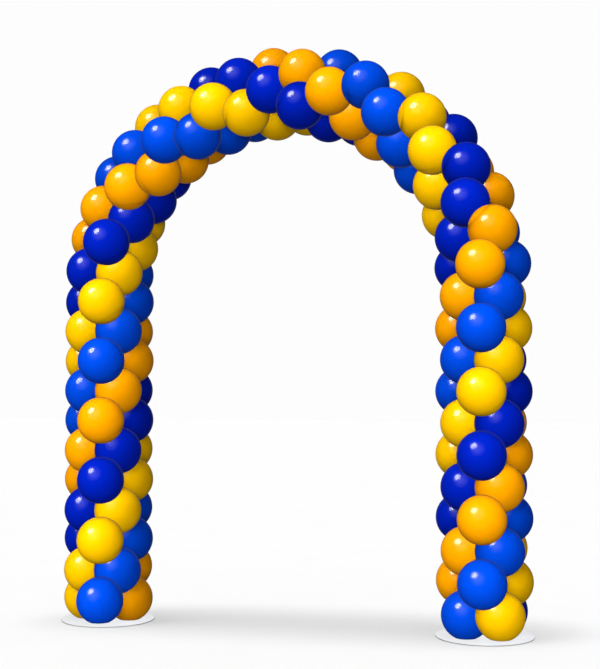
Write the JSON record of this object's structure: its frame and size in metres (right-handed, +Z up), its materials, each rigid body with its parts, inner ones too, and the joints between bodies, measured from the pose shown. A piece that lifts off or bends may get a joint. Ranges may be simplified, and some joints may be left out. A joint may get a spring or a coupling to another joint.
{
  "type": "balloon arch on pole frame",
  "caption": "Free-standing walk-through arch of round latex balloons, clustered on an arched pole so that their colours climb it in spirals, with a round base plate under each leg.",
  "frame": {"origin": "on the floor, midway between the two legs, at the bottom centre of the bounding box", "axes": "+Z up, +X towards the right leg as seen from the front, +Y to the back; the front faces -Y"},
  "size_m": [2.329, 0.46, 2.8181],
  "materials": {
    "latex_royal_blue": "gloss",
    "latex_yellow": "gloss",
    "latex_navy_blue": "gloss",
    "latex_orange": "gloss",
    "pole_plastic": "satin",
    "plate_plastic": "satin"
  },
  "bodies": {
    "root": {"cluster_01": "latex_royal_blue", "cluster_02": "latex_royal_blue", "cluster_03": "latex_yellow", "cluster_04": "latex_yellow", "cluster_05": "latex_navy_blue", "cluster_06": "latex_navy_blue", "cluster_07": "latex_orange", "cluster_08": "latex_orange", "cluster_09": "latex_royal_blue", "cluster_10": "latex_royal_blue", "cluster_11": "latex_yellow", "cluster_12": "latex_yellow", "cluster_13": "latex_navy_blue", "cluster_14": "latex_navy_blue", "cluster_15": "latex_orange", "cluster_16": "latex_orange", "cluster_17": "latex_royal_blue", "cluster_18": "latex_royal_blue", "cluster_19": "latex_yellow", "cluster_20": "latex_yellow", "cluster_21": "latex_navy_blue", "cluster_22": "latex_navy_blue", "cluster_23": "latex_orange", "cluster_24": "latex_orange", "cluster_25": "latex_royal_blue", "cluster_26": "latex_royal_blue", "cluster_27": "latex_yellow", "cluster_28": "latex_yellow", "cluster_29": "latex_navy_blue", "cluster_30": "latex_navy_blue", "cluster_31": "latex_orange", "cluster_32": "latex_orange", "cluster_33": "latex_royal_blue", "cluster_34": "latex_royal_blue", "cluster_35": "latex_yellow", "cluster_36": "latex_yellow", "cluster_37": "latex_navy_blue", "cluster_38": "latex_navy_blue", "cluster_39": "latex_orange", "cluster_40": "latex_orange", "cluster_41": "latex_royal_blue", "cluster_42": "latex_royal_blue", "pole": "pole_plastic", "base_plate_left": "plate_plastic", "base_plate_right": "plate_plastic"}
  },
  "joints": []
}
